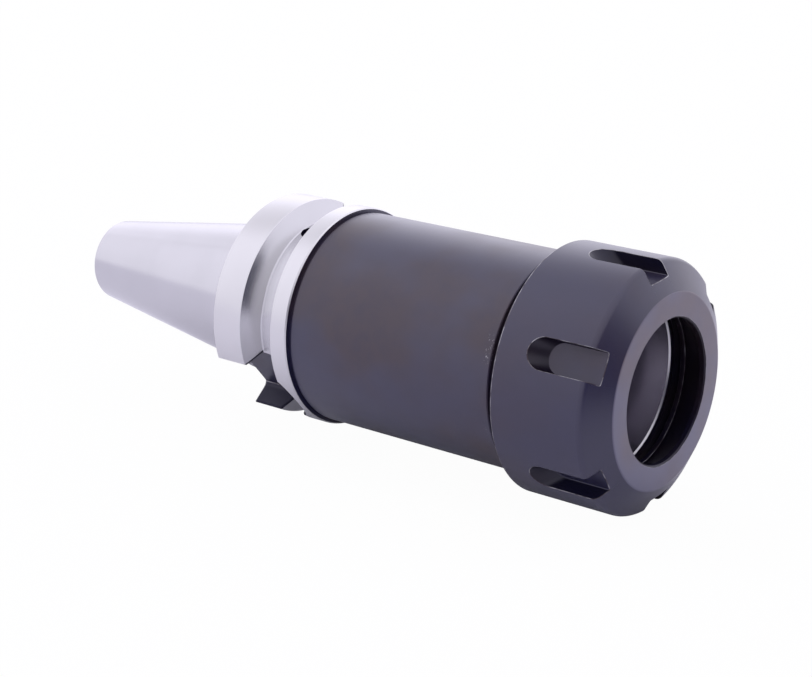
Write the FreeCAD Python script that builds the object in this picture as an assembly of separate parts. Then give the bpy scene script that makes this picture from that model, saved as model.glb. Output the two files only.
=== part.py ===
# Collet chuck holder: a ground 7/24 taper shank with a grooved drive flange, a long round chuck
# body with a tapered collet seat, and a slotted clamping nut on the threaded nose.
# The axis is X. X grows from the taper's small end to the nut's face, and X = 0 is the gauge plane,
# where the taper measures its gauge diameter. Millimetres.
import FreeCAD, Part
import math
import os

Vector = FreeCAD.Vector

# Taper shank
GAUGE_DIAMETER = 31.75
TAPER_RATIO = 7.0 / 24.0          # change of diameter per unit of length
TAPER_LENGTH = 48.4
TAPER_END_CHAMFER = 1.0
GAUGE_RELIEF_DEPTH = 0.5          # grinding relief between the taper and the flange

# Pull stud hole in the small end
STUD_PILOT_DIAMETER = 12.5
STUD_PILOT_DEPTH = 7.0
STUD_THREAD_DIAMETER = 12.0
STUD_THREAD_PITCH = 1.75
STUD_DRILL_DEPTH = 34.0
COOLANT_HOLE_DIAMETER = 8.5

# Drive flange with its gripper groove
FLANGE_DIAMETER = 46.0
FLANGE_REAR = 2.0
FLANGE_FRONT = 22.0
FLANGE_CHAMFER = 0.5
GROOVE_CENTRE = 13.85
GROOVE_WIDTH = 8.2                # across the groove's mouth, at the flange's diameter
GROOVE_FLOOR_DIAMETER = 38.0
GROOVE_ANGLE = 60.0               # between the groove's two flanks

# Two drive slots, milled across the flange from its rear face, with a round inner end
DRIVE_SLOT_WIDTH = 16.1
DRIVE_SLOT_FLOOR = 16.3           # from the axis to the slot's flat floor
DRIVE_SLOT_END = 20.4             # the furthest that the round end reaches along X
DRIVE_SLOT_FILLET = 1.0
DRIVE_SLOT_CHAMFER = 0.55          # on the lands and the groove's rear flank
DRIVE_SLOT_REAR_CHAMFER = 0.8      # on the flange's rear face
DRIVE_SLOT_ANGLE = 130.4          # turned from +Z about the axis

# Round index hole in the floor of the groove
INDEX_HOLE_DIAMETER = 4.2
INDEX_HOLE_PLACE = 14.2           # along X, a little in front of the groove's centre
INDEX_HOLE_DEPTH = 5.0
INDEX_HOLE_ANGLE = 16.6

# Chuck body
BODY_DIAMETER = 44.2
BODY_FRONT = 70.8
BODY_CHAMFER = 0.4
BODY_UNDERCUT_WIDTH = 0.6
BODY_UNDERCUT_DEPTH = 0.4

# Threaded nose and the collet seat inside it
NOSE_FRONT = 87.3
NOSE_CHAMFER = 0.8
THREAD_DIAMETER = 40.0
THREAD_PITCH = 1.5
THREAD_CLEARANCE = 0.1            # radial, between the nose and the nut
THREAD_RELIEF_WIDTH = 2.4
THREAD_RELIEF_DEPTH = 1.2         # below the thread's major radius
SEAT_MOUTH_DIAMETER = 33.0
SEAT_MOUTH_CHAMFER = 0.8
SEAT_HALF_ANGLE = 8.0
SEAT_LENGTH = 34.0
SHANK_BORE_DIAMETER = 22.0        # clears the shank of a cutting tool behind the collet
SHANK_BORE_LENGTH = 36.5
DRILL_POINT_ANGLE = 118.0

# Clamping nut
NUT_DIAMETER = 50.0
NUT_GAP = 2.8                     # from the body's front shoulder to the nut's rear face
NUT_LENGTH = 23.2
NUT_REAR_CHAMFER = 0.3
NUT_FACE_DIAMETER = 38.2
NUT_CONE_ANGLE = 30.0             # between the nut's front cone and its face
NUT_CONE_ROUND = 1.5
NUT_FACE_CHAMFER = 0.25
NUT_MOUTH_DIAMETER = 28.4
NUT_MOUTH_CHAMFER = 0.3
NUT_MOUTH_LAND = 1.2              # straight part of the mouth, chamfer included
NUT_SEAT_DIAMETER = 33.6          # wide end of the cone that presses on the collet
NUT_SEAT_HALF_ANGLE = 30.0
NUT_LIP_DIAMETER = 32.7           # lip that draws the collet out with the nut
NUT_LIP_WIDTH = 1.0
NUT_RELIEF_WIDTH = 2.6
NUT_RELIEF_DEPTH = 0.4            # beyond the thread's major radius
NUT_THREAD_CHAMFER = 0.9

# Spanner slots round the nut, each with a half-round rear end that ramps up to the surface
SPANNER_SLOT_COUNT = 6
SPANNER_SLOT_WIDTH = 6.2
SPANNER_SLOT_DEPTH = 3.1
SPANNER_SLOT_LENGTH = 13.5        # along the floor, from its round end to the nut's face
SPANNER_SLOT_RAMP = 45.0
SPANNER_SLOT_ANGLE = 4.0          # turned from +Z about the axis

OVERCUT = 2.0                     # how far a cutter reaches past the surface that it opens

# Sizes that follow from those above
gauge_radius = GAUGE_DIAMETER / 2
taper_end = -TAPER_LENGTH
taper_end_radius = gauge_radius - TAPER_LENGTH * TAPER_RATIO / 2
flange_radius = FLANGE_DIAMETER / 2
body_radius = BODY_DIAMETER / 2
nut_radius = NUT_DIAMETER / 2
nut_rear = BODY_FRONT + NUT_GAP
nut_face = nut_rear + NUT_LENGTH
thread_radius = THREAD_DIAMETER / 2
pitch_radius = thread_radius - 0.3248 * THREAD_PITCH
nose_thread_radius = pitch_radius - THREAD_CLEARANCE / 2
nut_thread_radius = pitch_radius + THREAD_CLEARANCE / 2
stud_thread_radius = STUD_THREAD_DIAMETER / 2 - 0.5413 * STUD_THREAD_PITCH


def tan(degrees):
    return math.tan(math.radians(degrees))


def rounded_corner(before, corner, after, size):
    """First, middle and last point of the arc that rounds a corner between two straight runs."""
    towards_before = (before - corner).normalize()
    towards_after = (after - corner).normalize()
    half_angle = towards_before.getAngle(towards_after) / 2
    inwards = (towards_before + towards_after).normalize()
    centre = corner + inwards * (size / math.sin(half_angle))
    setback = size / math.tan(half_angle)
    return [corner + towards_before * setback, centre - inwards * size,
            corner + towards_after * setback]


def turned(outside, inside):
    """Ring turned about X, between two outlines that both run from rear to front.

    An outline is a list of (x, radius) corners, and a third value rounds its corner.
    """
    corners = outside + inside[::-1]
    places = [Vector(corner[0], 0, corner[1]) for corner in corners]
    stretches = []
    for number, corner in enumerate(corners):
        if len(corner) == 3:
            after = places[(number + 1) % len(places)]
            stretches.append(rounded_corner(places[number - 1], places[number], after, corner[2]))
        else:
            stretches.append([places[number]])
    edges = []
    for here, following in zip(stretches, stretches[1:] + stretches[:1]):
        if len(here) == 3:
            edges.append(Part.Arc(*here).toShape())
        edges.append(Part.LineSegment(here[-1], following[0]).toShape())
    section = Part.Face(Part.Wire(edges))
    return section.revolve(Vector(0, 0, 0), Vector(1, 0, 0), 360)


def round_ended_outline(centre_x, open_x, half_width, z):
    """Flat face of a slot at height z, open at open_x and half-round about centre_x."""
    side = 1 if open_x > centre_x else -1
    left = Vector(centre_x, -half_width, z)
    right = Vector(centre_x, half_width, z)
    tip = Vector(centre_x - side * half_width, 0, z)
    open_left = Vector(open_x, -half_width, z)
    open_right = Vector(open_x, half_width, z)
    edges = [Part.LineSegment(open_left, left).toShape(), Part.Arc(left, tip, right).toShape(),
             Part.LineSegment(right, open_right).toShape(),
             Part.LineSegment(open_right, open_left).toShape()]
    return Part.Face(Part.Wire(edges))


def turned_copy(solid, angle):
    """Copy of a solid turned about X, from +Z towards -Y."""
    copy = solid.copy()
    copy.rotate(Vector(0, 0, 0), Vector(1, 0, 0), angle)
    return copy


def drive_slot_cutter():
    half_width = DRIVE_SLOT_WIDTH / 2
    outline = round_ended_outline(DRIVE_SLOT_END - half_width, FLANGE_REAR - OVERCUT, half_width,
                                  DRIVE_SLOT_FLOOR)
    cutter = outline.extrude(Vector(0, 0, flange_radius - DRIVE_SLOT_FLOOR + OVERCUT))
    floor_edges = [edge for edge in cutter.Edges
                   if edge.BoundBox.ZMax < DRIVE_SLOT_FLOOR + 0.001
                   and edge.BoundBox.XMax > FLANGE_REAR]
    return cutter.makeFillet(DRIVE_SLOT_FILLET, floor_edges)


def index_hole_cutter():
    radius = INDEX_HOLE_DIAMETER / 2
    floor = GROOVE_FLOOR_DIAMETER / 2 - INDEX_HOLE_DEPTH
    point = radius / tan(DRILL_POINT_ANGLE / 2)
    hole = Part.makeCylinder(radius, INDEX_HOLE_DEPTH + OVERCUT, Vector(INDEX_HOLE_PLACE, 0, floor))
    tip = Part.makeCone(0, radius, point, Vector(INDEX_HOLE_PLACE, 0, floor - point))
    return hole.fuse(tip)


def slot_section(x, growth):
    """Outline of the drive slot across X, with its round lower corners, grown on every side."""
    half_width = DRIVE_SLOT_WIDTH / 2 + growth
    floor = DRIVE_SLOT_FLOOR - growth
    top = flange_radius + OVERCUT
    fillet = DRIVE_SLOT_FILLET + growth
    slant = fillet * (1 - math.sqrt(0.5))
    left_arc = Part.Arc(Vector(x, -half_width, floor + fillet),
                        Vector(x, -half_width + slant, floor + slant),
                        Vector(x, -half_width + fillet, floor))
    right_arc = Part.Arc(Vector(x, half_width - fillet, floor),
                         Vector(x, half_width - slant, floor + slant),
                         Vector(x, half_width, floor + fillet))
    base = Part.LineSegment(left_arc.EndPoint, right_arc.StartPoint)
    corners = [right_arc.EndPoint, Vector(x, half_width, top), Vector(x, -half_width, top),
               left_arc.StartPoint]
    sides = [Part.LineSegment(first, second) for first, second in zip(corners, corners[1:])]
    return Part.Wire([curve.toShape() for curve in [left_arc, base, right_arc] + sides])


def slot_rear_cutter():
    """Chamfer round the drive slot where it opens in the flange's rear face."""
    rear = slot_section(FLANGE_REAR, DRIVE_SLOT_REAR_CHAMFER)
    front = slot_section(FLANGE_REAR + DRIVE_SLOT_REAR_CHAMFER, 0)
    return Part.makeLoft([rear, front], True, True)


def slot_mouth_edges(solid):
    """Edges where the drive slots' walls come out on the two lands and the groove's rear flank."""
    groove_rear = GROOVE_CENTRE - GROOVE_WIDTH / 2
    groove_floor = GROOVE_FLOOR_DIAMETER / 2
    mouths = []
    for edge in solid.Edges:
        first, last = edge.ParameterRange
        places = [edge.valueAt(first + (last - first) * share) for share in (0.0, 0.3, 0.7, 1.0)]
        radii = [math.hypot(place.y, place.z) for place in places]
        flank = [flange_radius - (place.x - groove_rear) / tan(GROOVE_ANGLE / 2)
                 for place in places]
        on_land = all(abs(radius - flange_radius) < 0.001 for radius in radii)
        on_flank = all(abs(radius - rise) < 0.001 for radius, rise in zip(radii, flank))
        on_flank = on_flank and min(radii) > groove_floor - 0.001
        if edge.BoundBox.XLength > 0.5 and (on_land or on_flank):
            mouths.append(edge)
    return mouths


def holder_body():
    """Shank, flange, chuck body and nose, turned and ground from one piece."""
    groove_half = GROOVE_WIDTH / 2
    groove_radius = GROOVE_FLOOR_DIAMETER / 2
    floor_half = groove_half - (flange_radius - groove_radius) * tan(GROOVE_ANGLE / 2)
    relief_radius = gauge_radius - GAUGE_RELIEF_DEPTH
    undercut_radius = body_radius - BODY_UNDERCUT_DEPTH
    neck_radius = thread_radius - THREAD_RELIEF_DEPTH
    neck_front = BODY_FRONT + THREAD_RELIEF_WIDTH
    neck_step = nose_thread_radius - neck_radius
    chamfered_radius = taper_end_radius + TAPER_END_CHAMFER * (TAPER_RATIO / 2 - 1)
    outside = [
        (taper_end, chamfered_radius),
        (taper_end + TAPER_END_CHAMFER, taper_end_radius + TAPER_END_CHAMFER * TAPER_RATIO / 2),
        (0, gauge_radius),
        (GAUGE_RELIEF_DEPTH, relief_radius),
        (FLANGE_REAR, relief_radius),
        (FLANGE_REAR, flange_radius - FLANGE_CHAMFER),
        (FLANGE_REAR + FLANGE_CHAMFER, flange_radius),
        (GROOVE_CENTRE - groove_half, flange_radius),
        (GROOVE_CENTRE - floor_half, groove_radius),
        (GROOVE_CENTRE + floor_half, groove_radius),
        (GROOVE_CENTRE + groove_half, flange_radius),
        (FLANGE_FRONT - FLANGE_CHAMFER / 2, flange_radius),
        (FLANGE_FRONT, flange_radius - FLANGE_CHAMFER / 2),
        (FLANGE_FRONT, undercut_radius),
        (FLANGE_FRONT + BODY_UNDERCUT_WIDTH, undercut_radius),
        (FLANGE_FRONT + BODY_UNDERCUT_WIDTH + BODY_UNDERCUT_DEPTH, body_radius),
        (BODY_FRONT - BODY_CHAMFER, body_radius),
        (BODY_FRONT, body_radius - BODY_CHAMFER),
        (BODY_FRONT, neck_radius),
        (neck_front, neck_radius),
        (neck_front + neck_step, nose_thread_radius),
        (NOSE_FRONT - NOSE_CHAMFER, nose_thread_radius),
        (NOSE_FRONT, nose_thread_radius - NOSE_CHAMFER),
    ]
    seat_mouth = NOSE_FRONT - SEAT_MOUTH_CHAMFER
    seat_end = seat_mouth - SEAT_LENGTH
    seat_end_radius = SEAT_MOUTH_DIAMETER / 2 - SEAT_LENGTH * tan(SEAT_HALF_ANGLE)
    bore_radius = SHANK_BORE_DIAMETER / 2
    bore_end = seat_end - SHANK_BORE_LENGTH
    coolant_radius = COOLANT_HOLE_DIAMETER / 2
    bore_point = (bore_radius - coolant_radius) / tan(DRILL_POINT_ANGLE / 2)
    stud_end = taper_end + STUD_DRILL_DEPTH
    stud_point = (stud_thread_radius - coolant_radius) / tan(DRILL_POINT_ANGLE / 2)
    pilot_end = taper_end + STUD_PILOT_DEPTH
    pilot_radius = STUD_PILOT_DIAMETER / 2
    pilot_chamfer = TAPER_END_CHAMFER / 2
    inside = [
        (taper_end, pilot_radius + pilot_chamfer),
        (taper_end + pilot_chamfer, pilot_radius),
        (pilot_end, pilot_radius),
        (pilot_end + pilot_radius - stud_thread_radius, stud_thread_radius),
        (stud_end, stud_thread_radius),
        (stud_end + stud_point, coolant_radius),
        (bore_end - bore_point, coolant_radius),
        (bore_end, bore_radius),
        (seat_end, bore_radius),
        (seat_end, seat_end_radius),
        (seat_mouth, SEAT_MOUTH_DIAMETER / 2),
        (NOSE_FRONT, SEAT_MOUTH_DIAMETER / 2 + SEAT_MOUTH_CHAMFER),
    ]
    blank = turned(outside, inside)
    turns = (DRIVE_SLOT_ANGLE, DRIVE_SLOT_ANGLE + 180)
    milled = blank.cut([turned_copy(drive_slot_cutter(), turn) for turn in turns])
    milled = milled.makeChamfer(DRIVE_SLOT_CHAMFER, slot_mouth_edges(milled))
    last_cuts = [turned_copy(slot_rear_cutter(), turn) for turn in turns]
    last_cuts.append(turned_copy(index_hole_cutter(), INDEX_HOLE_ANGLE))
    return milled.cut(last_cuts)


def spanner_slot_cutter():
    """Round-ended slot whose rear end leans back up the ramp as the cutter is withdrawn."""
    half_width = SPANNER_SLOT_WIDTH / 2
    floor = nut_radius - SPANNER_SLOT_DEPTH
    rise = SPANNER_SLOT_DEPTH + OVERCUT
    lean = rise / tan(SPANNER_SLOT_RAMP)
    outline = round_ended_outline(nut_face - SPANNER_SLOT_LENGTH + half_width,
                                  nut_face + lean + OVERCUT, half_width, floor)
    return outline.extrude(Vector(-lean, 0, rise))


def clamping_nut():
    """Slotted nut with a front cone, the cone that presses on the collet, and its pulling lip."""
    face_radius = NUT_FACE_DIAMETER / 2
    cone_start = nut_face - (nut_radius - face_radius) * tan(NUT_CONE_ANGLE)
    outside = [
        (nut_rear, nut_radius - NUT_REAR_CHAMFER),
        (nut_rear + NUT_REAR_CHAMFER, nut_radius),
        (cone_start, nut_radius, NUT_CONE_ROUND),
        (nut_face - NUT_FACE_CHAMFER * tan(NUT_CONE_ANGLE), face_radius + NUT_FACE_CHAMFER),
        (nut_face, face_radius - NUT_FACE_CHAMFER),
    ]
    mouth_radius = NUT_MOUTH_DIAMETER / 2
    seat_radius = NUT_SEAT_DIAMETER / 2
    seat_front = nut_face - NUT_MOUTH_LAND
    seat_rear = seat_front - (seat_radius - mouth_radius) / tan(NUT_SEAT_HALF_ANGLE)
    lip_radius = NUT_LIP_DIAMETER / 2
    lip_rear = seat_rear - NUT_LIP_WIDTH
    relief_radius = thread_radius + NUT_RELIEF_DEPTH
    relief_rear = lip_rear - NUT_RELIEF_WIDTH
    inside = [
        (nut_rear, nut_thread_radius + NUT_THREAD_CHAMFER),
        (nut_rear + NUT_THREAD_CHAMFER, nut_thread_radius),
        (relief_rear - (relief_radius - nut_thread_radius), nut_thread_radius),
        (relief_rear, relief_radius),
        (lip_rear, relief_radius),
        (lip_rear, lip_radius),
        (seat_rear, lip_radius),
        (seat_rear, seat_radius),
        (seat_front, mouth_radius),
        (nut_face - NUT_MOUTH_CHAMFER, mouth_radius),
        (nut_face, mouth_radius + NUT_MOUTH_CHAMFER),
    ]
    blank = turned(outside, inside)
    step = 360.0 / SPANNER_SLOT_COUNT
    slots = [turned_copy(spanner_slot_cutter(), SPANNER_SLOT_ANGLE + step * number)
             for number in range(SPANNER_SLOT_COUNT)]
    return blank.cut(slots)


def save(name, shape):
    shape.exportStep("parts/" + name + ".step")
    print(name, len(shape.Solids), "solid", shape.isValid(), round(shape.Volume, 1), "mm3")


os.makedirs("parts", exist_ok=True)
save("holder_body", holder_body())
save("clamping_nut", clamping_nut())
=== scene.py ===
"""A collet chuck holder with a taper shank and a slotted clamping nut.

The file is laid out as a Blender add-on and is run as a script. X is the axis, from the taper's
small end to the nut's face, and X = 0 is the taper's gauge plane. Sizes are in metres.
"""
import math

import bmesh
import bpy
from bpy.props import FloatProperty, FloatVectorProperty, IntProperty, PointerProperty
from bpy.types import Operator, Panel, PropertyGroup
from mathutils import Matrix, Vector


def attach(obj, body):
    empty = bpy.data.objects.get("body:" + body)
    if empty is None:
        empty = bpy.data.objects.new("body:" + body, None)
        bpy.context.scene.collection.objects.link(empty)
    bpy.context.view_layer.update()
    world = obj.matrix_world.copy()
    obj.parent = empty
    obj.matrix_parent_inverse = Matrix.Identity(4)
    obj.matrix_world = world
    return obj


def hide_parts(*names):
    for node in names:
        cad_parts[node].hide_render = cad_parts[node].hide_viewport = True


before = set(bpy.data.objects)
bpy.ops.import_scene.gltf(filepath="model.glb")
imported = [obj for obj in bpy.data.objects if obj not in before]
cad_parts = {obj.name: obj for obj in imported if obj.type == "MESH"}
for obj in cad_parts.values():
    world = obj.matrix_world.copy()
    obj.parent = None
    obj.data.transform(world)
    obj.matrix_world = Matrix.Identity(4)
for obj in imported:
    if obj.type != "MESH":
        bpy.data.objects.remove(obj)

bl_info = {
    "name": "Collet Chuck Holder",
    "version": (1, 0, 0),
    "blender": (4, 5, 0),
    "location": "3D Viewport > Sidebar > Tool Holder",
    "description": "Builds a taper shank collet chuck holder and its clamping nut",
    "category": "Add Mesh",
}

MM = 0.001
AXIS = Vector((1.0, 0.0, 0.0))
# Material slots of both pieces. The nut has GROUND on its flat face and LAND nowhere.
GROUND, LAND, BLACKENED, MILLED, SLOT_FLOOR, INSIDE, RUBBED_AND_HIGHLIGHT = range(7)
SHARP_ANGLE = math.radians(28)
# Half the angle of a drill's point
DRILL_POINT = math.radians(59)
# How far a cutter reaches past the metal
PAST = 2 * MM
# Play when a face is found by its place
HAIR = 0.01 * MM
# Stretch of the noise that draws fine lines round the axis, and those lines' depth
GRINDING, GRINDING_DEPTH = (9000.0, 40.0, 40.0), 0.004 * MM
TURNING, TURNING_DEPTH = (7000.0, 30.0, 30.0), 0.003 * MM
WHITE = (1.0, 1.0, 1.0, 1.0)

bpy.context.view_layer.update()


# Settings

def length(name, description, millimetres):
    return FloatProperty(name=name, description=description, default=millimetres * MM,
                         min=0.0, precision=5, unit="LENGTH")


def angle(name, description, degrees):
    return FloatProperty(name=name, description=description, default=math.radians(degrees),
                         precision=3, unit="ROTATION")


def colour(name, description, red, green, blue):
    return FloatVectorProperty(name=name, description=description, default=(red, green, blue),
                               min=0.0, max=1.0, size=3, subtype="COLOR")


def share(name, description, default):
    return FloatProperty(name=name, description=description, default=default, min=0.0, max=1.0,
                         subtype="FACTOR")


def amount(name, description, default):
    return FloatProperty(name=name, description=description, default=default, min=0.0)


def point(name, description, x, y, z):
    return FloatVectorProperty(name=name, description=description, default=(x, y, z), size=3,
                               precision=5, subtype="XYZ")


def step_count():
    return IntProperty(name="Steps", description="Flat strips round the axis", default=288,
                       min=48, max=720)


class HolderSettings(PropertyGroup):
    """Sizes of the holder's body."""

    steps: step_count()
    gauge_diameter: length("Gauge Diameter", "Taper diameter at the gauge plane", 31.75)
    taper_length: length("Taper Length", "Gauge plane to the small end", 48.4)
    taper_ratio: share("Taper Ratio", "Change of diameter per length", 7 / 24)
    taper_chamfer: length("Small End Chamfer", "Chamfer on the taper's small end", 1.0)
    taper_round: length("Small End Round", "Between that chamfer and the taper", 0.5)
    relief_depth: length("Gauge Relief", "Grinding relief beside the flange", 0.5)
    pilot_diameter: length("Stud Pilot", "Counterbore that centres a pull stud", 12.5)
    pilot_depth: length("Stud Pilot Depth", "Depth of the counterbore", 7.0)
    stud_root: length("Stud Thread Root", "Diameter at the bottom of the stud thread", 12.0)
    stud_crest: length("Stud Thread Crest", "Diameter inside the stud thread", 10.106)
    stud_pitch: length("Stud Thread Pitch", "Pitch of the stud thread", 1.75)
    stud_depth: length("Stud Hole Depth", "Depth of the threaded hole", 34.0)
    coolant_diameter: length("Coolant Hole", "Hole along the axis", 8.5)
    flange_diameter: length("Flange Diameter", "Across the two lands", 46.0)
    flange_rear: length("Flange Rear", "Rear face of the flange", 2.0)
    flange_front: length("Flange Front", "Front face of the flange", 22.0)
    flange_chamfer: length("Flange Chamfer", "Chamfer on the flange's edges", 0.5)
    edge_round: length("Edge Round", "Rubbed edges of the flange and the body", 0.1)
    groove_centre: length("Groove Place", "Middle of the gripper groove", 13.85)
    groove_width: length("Groove Width", "Across the mouth of the groove", 8.2)
    groove_floor: length("Groove Floor", "Diameter of the groove's floor", 38.0)
    groove_edge: length("Groove Edge", "Round on the edges of the groove's mouth", 0.12)
    groove_corner: length("Groove Corner", "Round beside the groove's floor", 0.4)
    groove_angle: angle("Groove Angle", "Between the groove's flanks", 60.0)
    slot_width: length("Drive Slot Width", "Across a drive slot", 16.1)
    slot_floor: length("Drive Slot Floor", "From the axis to the slot's floor", 16.3)
    slot_end: length("Drive Slot End", "Furthest reach of the round end", 20.4)
    slot_fillet: length("Drive Slot Fillet", "Between the slot's floor and its wall", 1.0)
    slot_chamfer: length("Drive Slot Chamfer", "On the lands and the groove's rear flank", 0.55)
    slot_rear_chamfer: length("Drive Slot Rear Chamfer", "On the flange's rear face", 0.8)
    slot_angle: angle("Drive Slot Angle", "Turned from the top towards the near side", 130.4)
    index_diameter: length("Index Hole", "Round hole in the groove", 4.2)
    index_place: length("Index Hole Place", "Along the axis", 14.2)
    index_depth: length("Index Hole Depth", "Below the groove's floor", 5.0)
    index_angle: angle("Index Hole Angle", "Turned from the top towards the near side", 16.6)
    body_diameter: length("Body Diameter", "Across the chuck body", 44.2)
    body_front: length("Body Front", "Front shoulder of the chuck body", 71.1)
    body_chamfer: length("Body Chamfer", "On the front shoulder", 0.2)
    undercut_width: length("Undercut Width", "Groove between flange and body", 0.4)
    undercut_depth: length("Undercut Depth", "Depth of that groove", 0.4)
    nose_front: length("Nose Front", "Front face of the threaded nose", 87.3)
    nose_chamfer: length("Nose Chamfer", "On the front of the thread", 0.8)
    thread_crest: length("Nose Thread Crest", "Outside of the nose thread", 38.926)
    neck_width: length("Neck Width", "Relief behind the thread", 2.4)
    neck_diameter: length("Neck Diameter", "Across that relief", 37.6)
    neck_corner: length("Neck Corner", "Round between neck and shoulder", 0.3)
    seat_diameter: length("Seat Mouth", "Wide end of the collet seat", 33.0)
    seat_chamfer: length("Seat Chamfer", "On the mouth of the collet seat", 0.8)
    # A deburred edge, whose bright strip is partly a painted highlight
    seat_edge: length("Seat Edge", "Bright strip along that chamfer's rim", 0.3)
    seat_half_angle: angle("Seat Half Angle", "Of the collet seat", 8.0)
    seat_lead: angle("Seat Lead-in", "Slope of the slight flare at the seat's mouth", 13.0)
    seat_round: length("Seat Round", "Between the seat and that flare", 20.0)
    seat_length: length("Seat Length", "Along the collet seat", 34.0)
    bore_diameter: length("Shank Bore", "Bore behind the collet seat", 22.0)
    bore_length: length("Shank Bore Length", "Along that bore", 36.5)


class NutSettings(PropertyGroup):
    """Sizes of the clamping nut."""

    steps: step_count()
    diameter: length("Diameter", "Across the nut", 50.0)
    rear: length("Rear Face", "Place of the nut's rear face", 73.6)
    length: length("Length", "Along the nut", 23.2)
    rear_chamfer: length("Rear Chamfer", "On the rear edge", 0.3)
    rear_round: length("Rear Round", "Rubbed edge beside that chamfer", 0.25)
    face_diameter: length("Face Diameter", "Across the flat front face", 38.2)
    cone_angle: angle("Cone Angle", "Between the front cone and the face", 30.0)
    cone_round: length("Cone Round", "Between the cone and the round side", 1.5)
    face_round: length("Face Round", "Between the cone and the face", 0.8)
    mouth_diameter: length("Mouth", "Where the collet's face comes out", 28.4)
    mouth_chamfer: length("Mouth Chamfer", "On the mouth's edge", 0.3)
    # Rubbed mouth edge, lighter also as a painted highlight
    mouth_round: length("Mouth Round", "Rubbed edge between that chamfer and the face", 0.08)
    mouth_land: length("Mouth Land", "Straight part of the mouth", 1.2)
    seat_diameter: length("Cone Seat", "Wide end of the cone that presses the collet", 33.6)
    seat_half_angle: angle("Cone Seat Half Angle", "Of that cone", 30.0)
    lip_diameter: length("Lip", "Lip that draws the collet out", 32.7)
    lip_width: length("Lip Width", "Along the lip", 1.0)
    # Rubbed lip edges, lighter also as painted highlights
    lip_round: length("Lip Round", "Rubbed edges of the lip", 0.12)
    relief_diameter: length("Relief", "Relief between lip and thread", 40.8)
    relief_width: length("Relief Width", "Along the relief", 2.6)
    thread_crest: length("Thread Crest", "Inside the nut's thread", 39.126)
    thread_chamfer: length("Thread Chamfer", "On the rear of the thread", 0.9)
    slot_count: IntProperty(name="Spanner Slots", description="Slots round the nut", default=6,
                            min=3, max=12)
    slot_width: length("Slot Width", "Across a spanner slot", 6.2)
    slot_depth: length("Slot Depth", "Depth of a spanner slot", 3.1)
    slot_length: length("Slot Length", "Along the slot's floor", 13.5)
    slot_ramp: angle("Slot Ramp", "Slope of the slot's round end", 45.0)
    slot_angle: angle("Slot Angle", "Turned from the top towards the near side", 4.0)
    slot_break: length("Slot Edge Break", "Rubbed edge round a slot", 0.09)
    slot_fillet: length("Slot Fillet", "Between a slot's floor and its wall", 0.25)


class FinishSettings(PropertyGroup):
    """Colours and gloss of the metal."""

    steel: colour("Ground Steel", "Colour of the bright ground steel", 0.57, 0.565, 0.58)
    land: colour("Flange Lands", "Colour of the steel on the flange's lands", 0.68, 0.675, 0.675)
    seat: colour("Collet Seat", "Colour of the steel in the collet's seat", 0.5, 0.477, 0.53)
    steel_roughness: share("Steel Roughness", "Gloss of the ground steel", 0.22)
    black: colour("Black Oxide", "Colour of the blackened steel", 0.0064, 0.0052, 0.036)
    brown: colour("Oxide Bloom", "Colour of the faint brown patches", 0.031, 0.018, 0.024)
    sheen: colour("Oxide Sheen", "Tint of the black skin's own reflection", 0.88, 0.85, 1.0)
    black_roughness: share("Oxide Roughness", "Gloss of the blackened steel", 0.42)
    coat_roughness: share("Oil Film Roughness", "Gloss of the film on that steel", 0.34)
    coat_ior: amount("Oil Film Index", "Refractive index of that film", 1.58)


class StageSettings(PropertyGroup):
    """Floor, lights and camera. Places are in metres."""

    floor_drop: length("Floor Drop", "From the axis down to the floor", 25.2)
    floor_size: length("Floor Size", "Across the floor", 6000.0)
    floor_pale: colour("Floor", "Colour of the floor", 0.86, 0.85, 0.90)
    # Painted shadow: the floor's colour near and under the part
    floor_painted_shadow: colour("Floor Under The Part", "Colour of the floor near the part", 0.50, 0.50, 0.54)
    floor_glow: share("Floor Glow", "How white the floor looks to the camera", 0.975)
    floor_gleam: share("Floor Gleam", "How white the floor looks in a mirror", 0.03)
    room: colour("Room", "Colour of the soft room's light", 0.90, 0.88, 1.0)
    brightness: amount("Brightness", "Strength of the soft room", 1.42)
    ambient: share("Ambient", "Share of the room that lights matt paint", 0.9)
    front_wall: share("Front Wall", "Share of light from the front right", 0.7)
    rear_wall: point("Rear Wall", "Direction of the brightest wall", -0.45, 0.75, 0.45)
    gap: share("Gap", "How dark the gap between the soft lights is", 0.3)
    gap_place: point("Gap Place", "Direction of that gap", -0.58, 0.30, 0.755)
    softbox: amount("Softbox", "Power of the rear softbox in watts", 1.7)
    softbox_tint: colour("Softbox Colour", "Colour of its light", 0.90, 0.88, 1.0)
    softbox_width: length("Softbox Width", "Across the softbox", 2200.0)
    softbox_height: length("Softbox Height", "Up the softbox", 1100.0)
    softbox_place: point("Softbox Place", "Middle of the softbox", -0.85, 1.05, 0.72)
    softbox_aim: point("Softbox Aim", "Where the softbox points", 0.03, 0.0, 0.0)
    card_paint: colour("Card", "Colour of the grey card", 0.08, 0.08, 0.11)
    card_width: length("Card Width", "Across the grey card", 360.0)
    card_height: length("Card Height", "Up the grey card", 160.0)
    card_place: point("Card Place", "Middle of the grey card", 0.30, -0.12, 0.05)
    lens: amount("Lens", "Focal length in millimetres for a 36 mm frame", 86.6)
    camera_place: point("Camera Place", "Where the camera stands", 0.26834, -0.30135, 0.12624)
    camera_aim: point("Camera Aim", "Direction in which it looks", -0.5804, 0.7492, -0.3193)


# Mesh work

def closed_loop(shape, places):
    """Vertices at the places, joined by edges into a closed loop."""
    points = [shape.verts.new(place) for place in places]
    for first, second in zip(points, points[1:] + points[:1]):
        shape.edges.new((first, second))
    return points


def rounded(shape, parts, size, segments, affect="VERTICES"):
    """Rounds corners or edges of a shape."""
    bmesh.ops.bevel(shape, geom=parts, offset=size, offset_type="OFFSET", segments=segments,
                    profile=0.5, affect=affect, material=-1)


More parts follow.
